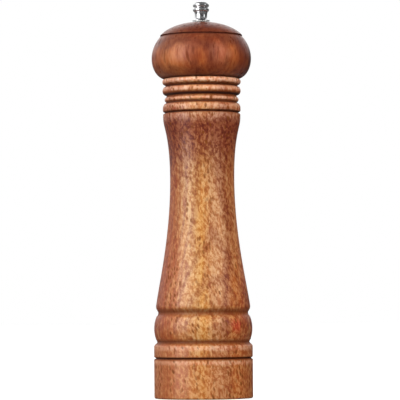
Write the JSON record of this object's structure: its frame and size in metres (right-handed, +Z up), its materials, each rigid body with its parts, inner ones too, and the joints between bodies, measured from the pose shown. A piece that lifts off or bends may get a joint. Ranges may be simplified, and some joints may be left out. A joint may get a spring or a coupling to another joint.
{
  "type": "pepper mill",
  "caption": "Turned wooden pepper mill: the round crown turns a ceramic grinder in the foot, and the nut on top sets how fine it grinds.",
  "frame": {"origin": "middle of the foot, on the surface that the mill stands on", "axes": "+Z up along the mill's axis, towards the nut; the mill looks the same from every side, and +X lies through one of the foot's three screws"},
  "size_m": [0.0638, 0.0638, 0.254],
  "materials": {
    "body_wood": "turned hardwood, satin lacquer",
    "crown_wood": "turned hardwood, darker, glossy lacquer",
    "chrome": "polished chrome plate",
    "nylon_washer": "natural white nylon",
    "zinc_steel": "bright zinc plate",
    "screw_steel": "bright steel",
    "spring_steel": "drawn wire",
    "shaft_aluminium": "drawn bar",
    "ceramic": "unglazed white ceramic",
    "black_nylon": "moulded, fine satin"
  },
  "bodies": {
    "mill_body": {"body": "body_wood", "burr_housing": "black_nylon", "stator": "ceramic", "bridge": "zinc_steel", "retaining_ring": "zinc_steel", "base_screw_1": "screw_steel", "base_screw_2": "screw_steel", "base_screw_3": "screw_steel"},
    "drive_seat": {"spring_seat": "zinc_steel", "spring": "spring_steel"},
    "spindle": {"shaft": "shaft_aluminium", "rotor": "ceramic", "rotor_driver": "black_nylon", "spring_washer": "zinc_steel", "rotor_washer": "zinc_steel", "rotor_lock_washer": "zinc_steel", "rotor_screw": "screw_steel"},
    "crown": {"crown": "crown_wood", "crown_ferrule": "chrome", "drive_plate": "zinc_steel", "drive_plate_screw_1": "screw_steel", "drive_plate_screw_2": "screw_steel", "drive_plate_screw_3": "screw_steel"},
    "nut_washer": {"nut_washer": "nylon_washer"},
    "nut": {"adjusting_nut": "chrome"}
  },
  "joints": [
    {"name": "crown_turn", "type": "hinge", "parent": "mill_body", "child": "drive_seat", "pos_m": [0, 0, 0.2042], "axis": [0, 0, 1], "continuous": true},
    {"name": "grind_adjust", "type": "slide", "parent": "drive_seat", "child": "spindle", "axis": [0, 0, 1], "range_m": [0, 0.0024], "deforming": ["spring"]},
    {"name": "crown_lift", "type": "slide", "parent": "drive_seat", "child": "crown", "axis": [0, 0, 1], "range_m": [0, 0.065]},
    {"name": "nut_lift", "type": "slide", "parent": "crown", "child": "nut_washer", "axis": [0, 0, 1], "range_m": [0, 0.015]},
    {"name": "nut_turn", "type": "hinge", "parent": "nut_washer", "child": "nut", "pos_m": [0, 0, 0.2415], "axis": [0, 0, -1], "range_deg": [0, 1080]}
  ],
  "couplings": [
    {"joint": "nut_turn", "follows": "grind_adjust", "rad_per_m": 7854}
  ]
}
